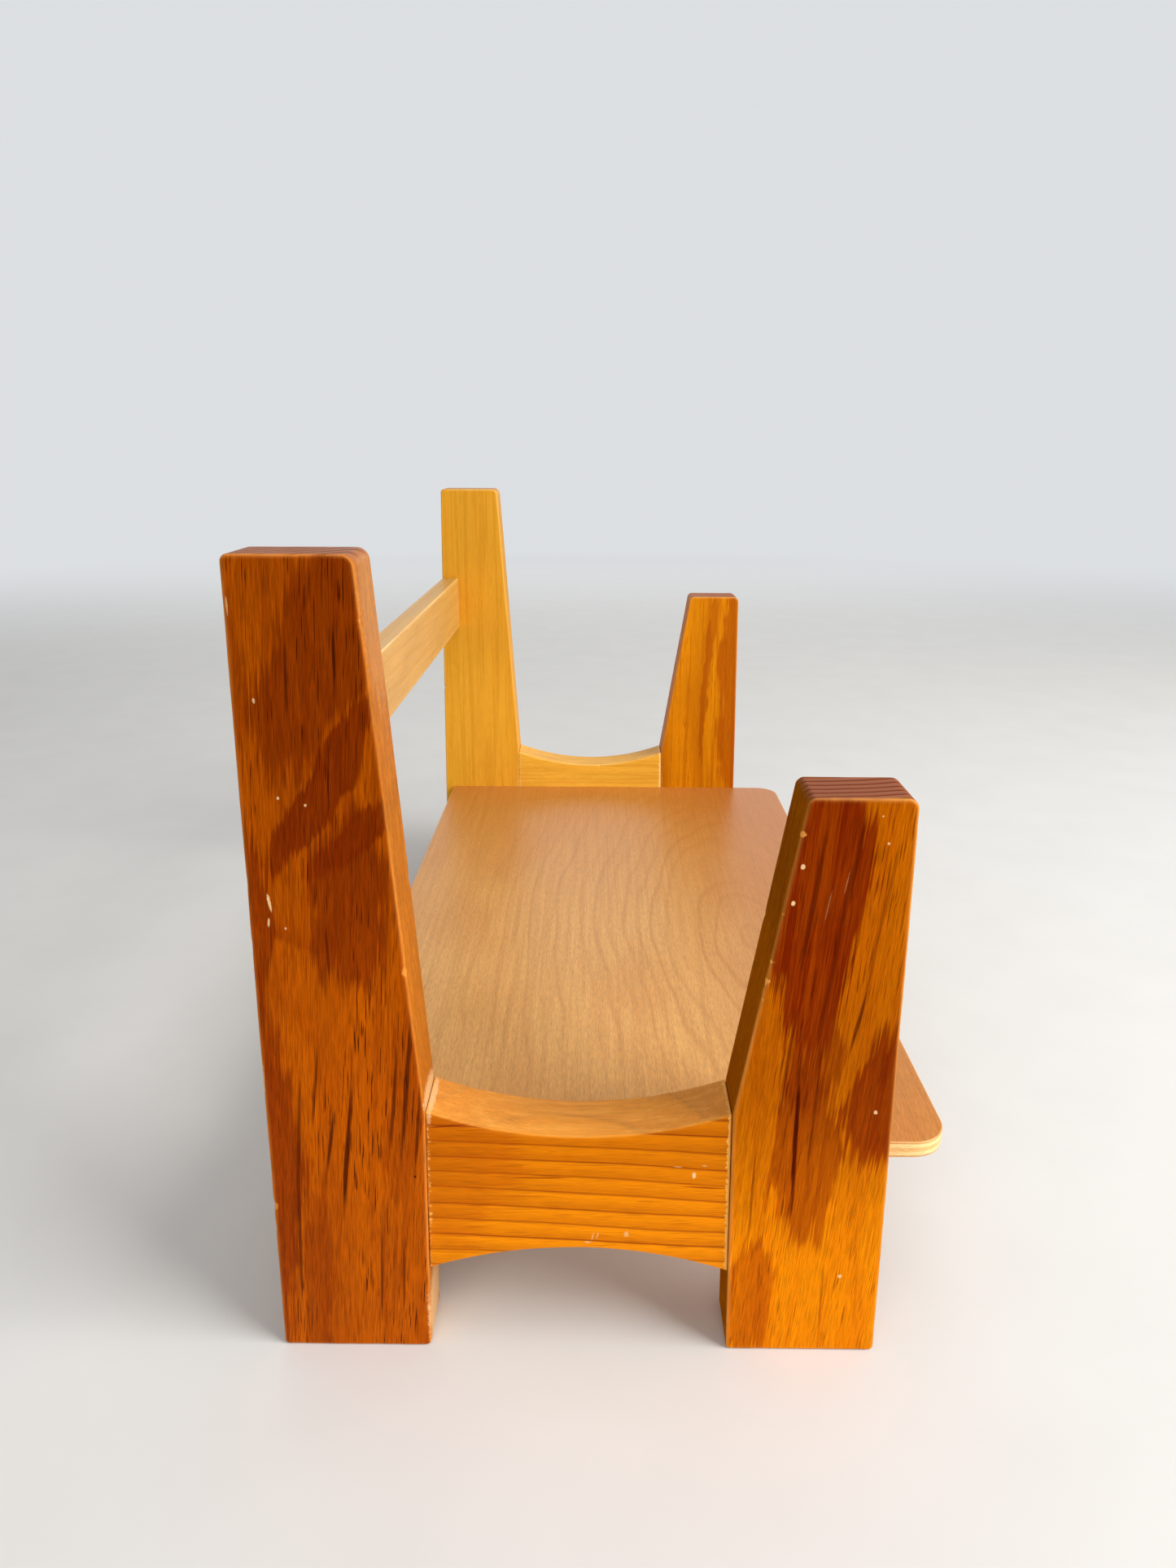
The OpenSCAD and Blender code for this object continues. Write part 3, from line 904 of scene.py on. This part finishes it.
def rounded(first, second, radius):
    """Bends two distances from a square corner into distances from one rounded by radius.

    Returns both new distances and the outward direction, as two components.
    """
    in_first = np.minimum(first - radius, 0)
    in_second = np.minimum(second - radius, 0)
    square = np.maximum(-in_first, -in_second)
    round_ = np.maximum(np.hypot(in_first, in_second), 1e-9)
    share = square / round_
    new_first = first - in_first + in_first * share
    new_second = second - in_second + in_second * share
    return new_first, new_second, in_first / round_, in_second / round_


def waviness(points, wavelength):
    """Smooth noise from about -1 to 1 at each point."""
    return np.array([noise.noise(Vector(p) / wavelength) for p in points])


def nicked(luck, nicks, ease, length, w, front, upper):
    """Bites out of the long edges: the new easing, and how torn each point is."""
    torn = np.zeros(len(w))
    for _ in range(nicks):
        at = luck.uniform(*MARGIN) * length
        reach, bite = luck.uniform(*NICK_REACH), luck.uniform(*NICK_BITE)
        side = (front == luck.choice((True, False))) & (upper == luck.choice((True, False)))
        hit = np.exp(-((w - at) / reach) ** 2) * side
        ease = ease + bite * hit
        torn = np.maximum(torn, hit * min(1.0, bite))
    return np.maximum(ease, LEAST_EASE), torn


def dented(luck, dents, sink, length, half, s, w, front, on_face):
    """Shallow dents in the two broad faces, added to how far each point has sunk."""
    for _ in range(dents):
        face = front == luck.choice((True, False))
        v_at, w_at = luck.uniform(-0.8, 0.8), luck.uniform(*MARGIN) * length
        size, deep = luck.uniform(*DENT_SIZE), luck.uniform(*DENT_DEPTH)
        off = np.hypot((s - v_at * half) / size, (w - w_at) / (1.6 * size))
        sink = sink + deep * np.exp(-off ** 2) * face * on_face
    return sink


def worn_block(name, thickness, length, low, high, place, corners, arris, step,
               nicks, dents, relief=0.07, joints=(0, 0)):
    """A wooden slab with rounded corners, softened arrises, nicks and dents, as a mesh object.

    u runs through the slab, w along it, and v across it between the curves low(w) and high(w).
    corners are the outline's radii at low's start and end and high's start and end, and place
    turns u, v and w into the frame's axes. joints says how rough the sawn start and end are left.
    """
    luck = random.Random(name)
    widest = max(high(w) - low(w) for w in np.linspace(0, length, 9))
    radii = (arris, *{r for pair in corners for r in pair})
    us = stations(thickness, (arris,), step)
    vs = stations(widest, radii, step)
    ws = stations(length, radii, step)
    (i, j, k), quads = lattice((len(us), len(vs), len(ws)))

    # s is v measured from the middle line, squeezed between the curves but not near the edges.
    u, w = us[i], ws[k]
    bottom, top = low(w), high(w)
    half = (top - bottom) / 2
    edge_zone = max(radii)
    s0 = vs[j] - widest / 2
    inner = widest / 2 - edge_zone
    kept = half - (widest / 2 - np.abs(s0))
    s = np.sign(s0) * np.where(np.abs(s0) <= inner, np.abs(s0) * (half - edge_zone) / inner, kept)
    front = u < thickness / 2
    upper = s > 0
    after = w > length / 2

    points = np.stack(place(u, (bottom + top) / 2 + s, w), -1)
    ease = arris * (1 + 0.3 * waviness(points, 22) + 0.2 * waviness(points, 5))
    ease, torn = nicked(luck, nicks, ease, length, w, front, upper)
    radius = np.maximum(np.array(corners)[upper.astype(int), after.astype(int)], ease)

    to_side, to_end = half - np.abs(s), np.minimum(w, length - w)
    depth = np.minimum(u, thickness - u)
    inset = np.minimum(to_side, to_end)
    to_side, to_end, out_side, out_end = rounded(to_side, to_end, radius)
    new_inset, new_depth, out_inset, out_depth = rounded(inset, depth, ease)

    sink = relief * (1 + waviness(points, 38)) / 2 + 0.4 * relief * (1 + waviness(points, 9)) / 2
    sink = dented(luck, dents, sink, length, half, s, w, front, depth < 0.5)
    new_inset = new_inset - out_inset * sink
    new_depth = new_depth - out_depth * sink

    shift = new_inset - inset
    to_side = to_side - out_side * shift
    to_end = to_end - out_end * shift
    s = np.where(upper, half - to_side, to_side - half)
    w = np.where(after, length - to_end, to_end)
    u = np.where(front, new_depth, thickness - new_depth)
    points = np.stack(place(u, (bottom + top) / 2 + s, w), -1)

    to_joint = np.minimum(w, length - w)
    edge = np.maximum(inset, depth)
    attributes = {
        "wear": np.exp(-(edge / (0.9 * arris)) ** 2),
        "chip": torn * np.exp(-(edge / (1.2 * ease)) ** 2),
        "end": out_end ** 2 * out_inset ** 2,
        "side": out_inset ** 2,
        "joint": np.exp(-(to_joint / JOINT_WIDTH) ** 2) * np.where(after, joints[1], joints[0]),
    }
    return mesh_object(name, points, quads, attributes)


def mesh_object(name, points, quads, attributes):
    """A smooth-shaded mesh from points in millimetres, with a number per point in each attribute."""
    a, b, c = (points[quads[:, corner]] for corner in (0, 1, 2))
    if np.einsum("ij,ij->i", a, np.cross(b, c)).sum() < 0:
        quads = quads[:, ::-1]
    mesh = bpy.data.meshes.new(name)
    mesh.from_pydata((points * MM).tolist(), [], quads.tolist())
    mesh.shade_smooth()
    for key, values in attributes.items():
        layer = mesh.attributes.new(key, "FLOAT", "POINT")
        layer.data.foreach_set("value", np.clip(values, 0, 1).astype(np.float32))
    piece = bpy.data.objects.new(name, mesh)
    bpy.context.scene.collection.objects.link(piece)
    return piece


def straight(level):
    """The edge of a block that is at one level all along."""
    return lambda w: level + 0 * w


def finish_piece(piece, node, material):
    """Puts a new piece in the place of its CAD node."""
    piece.data.materials.append(material)
    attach(piece, BODY)
    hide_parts(node)


# ---- Pieces ----

def tall_outer(z):
    """The back of the tall posts at this height."""
    return REAR_FOOT - z * math.tan(LEAN)


def short_outer(z):
    """The front of the short posts at this height."""
    return FRONT_FOOT + z * math.tan(LEAN)


def post_width(z, height, top_width):
    """Constant beside the cross rail, then an even taper to the top."""
    taper = np.clip((z - RAIL_TOP) / (height - RAIL_TOP), 0, 1)
    return POST_WIDTH + (top_width - POST_WIDTH) * taper


def make_post(node, side, tall, material, nicks, dents):
    """A post, straight at its outer edge and tapered from the other one, above the rail."""
    low, high = span(node)
    height = high[2]
    outer_face = max(abs(low[0]), abs(high[0]))

    def front_edge(z):
        return tall_outer(z) - post_width(z, height, TALL_TOP_WIDTH) if tall else short_outer(z)

    def rear_edge(z):
        return tall_outer(z) if tall else short_outer(z) + post_width(z, height, SHORT_TOP_WIDTH)

    def place(u, v, w):
        return side * (outer_face - u), v, w

    piece = worn_block("post_" + node, high[0] - low[0], height, front_edge, rear_edge, place,
                       corners=((1.6, 3.2), (1.6, 2.1)), arris=0.85, step=1.5, nicks=nicks, dents=dents)
    finish_piece(piece, node, material)


def make_cross_rail(node, side, material, nicks, dents):
    """The rail between a tall and a short post, scooped on top and arched below."""
    low, high = span(node)
    outer_face = max(abs(low[0]), abs(high[0]))

    def inner_edges(z):
        return short_outer(z) + POST_WIDTH, tall_outer(z) - POST_WIDTH

    start, end = inner_edges(RAIL_TOP)
    length = end - start

    def arc(w):
        """Height above its chord of a circular arc that rises by SAG in the middle."""
        radius = (length ** 2 / 4 + SAG ** 2) / (2 * SAG)
        return np.sqrt(radius ** 2 - (w - length / 2) ** 2) - (radius - SAG)

    def place(u, v, w):
        first, last = inner_edges(v)
        return side * (outer_face - u), first + (last - first) * w / length, v

    piece = worn_block("rail_" + node, high[0] - low[0], length,
                       lambda w: RAIL_BOTTOM + arc(w), lambda w: RAIL_TOP - arc(w), place,
                       corners=((0.6, 0.6), (0.6, 0.6)), arris=0.6, step=1.3,
                       nicks=nicks, dents=dents, joints=(1.0, 0.65))
    finish_piece(piece, node, material)


def make_back_rail(node, material):
    """The straight rail between the tall posts."""
    low, high = span(node)

    def place(u, v, w):
        return low[0] + w, low[1] + u, v

    piece = worn_block("board_" + node, high[1] - low[1], high[0] - low[0],
                       straight(low[2]), straight(high[2]), place,
                       corners=((1.2, 1.2), (1.2, 1.2)), arris=1.0, step=1.8, nicks=5, dents=8)
    finish_piece(piece, node, material)


def make_shelf(node, material):
    """The shelf board, with wide front corners."""
    low, high = span(node)

    def place(u, v, w):
        return low[0] + w, v, high[2] - u

    front, rear = SHELF_FRONT_RADIUS, SHELF_REAR_RADIUS
    piece = worn_block("board_" + node, high[2] - low[2], high[0] - low[0],
                       straight(low[1]), straight(high[1]), place,
                       corners=((front, front), (rear, rear)), arris=0.5, step=2.0,
                       nicks=6, dents=10, relief=0.05)
    finish_piece(piece, node, material)


def finish_cad_nodes():
    """Materials for the hidden joinery, shown as its CAD shapes with eased edges on the cleats."""
    cleat, steel = cleat_wood(), screw_steel()
    beech = {
        "dowel": dowel_wood("beech_rail_dowels", "Y"),
        "back": dowel_wood("beech_back_dowels", "X"),
    }
    for name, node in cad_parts.items():
        family = name.split("_")[0]
        if "screw" in name:
            material = steel
        elif family == "cleat":
            material = cleat
        elif "dowel" in name:
            material = beech[family]
        else:
            continue
        node.data.materials.clear()
        node.data.materials.append(material)
        if family == "cleat":
            bevel = node.modifiers.new("eased_edges", "BEVEL")
            bevel.width = 0.5 * MM
            bevel.segments = 2
            bevel.limit_method = "ANGLE"
            bevel.angle_limit = math.radians(60)


make_camera()
make_lights()
make_floor()
make_post("tall_post_left", LEFT, True, tall_left_wood(), nicks=9, dents=14)
make_post("short_post_left", LEFT, False, short_left_wood(), nicks=8, dents=12)
make_post("tall_post_right", RIGHT, True, tall_right_wood(), nicks=6, dents=8)
make_post("short_post_right", RIGHT, False, short_right_wood(), nicks=6, dents=8)
make_cross_rail("cross_rail_left", LEFT, rail_left_wood(), nicks=2, dents=12)
make_cross_rail("cross_rail_right", RIGHT, rail_right_wood(), nicks=7, dents=8)
make_back_rail("back_rail", back_rail_wood())
make_shelf("shelf_board", plywood())
finish_cad_nodes()
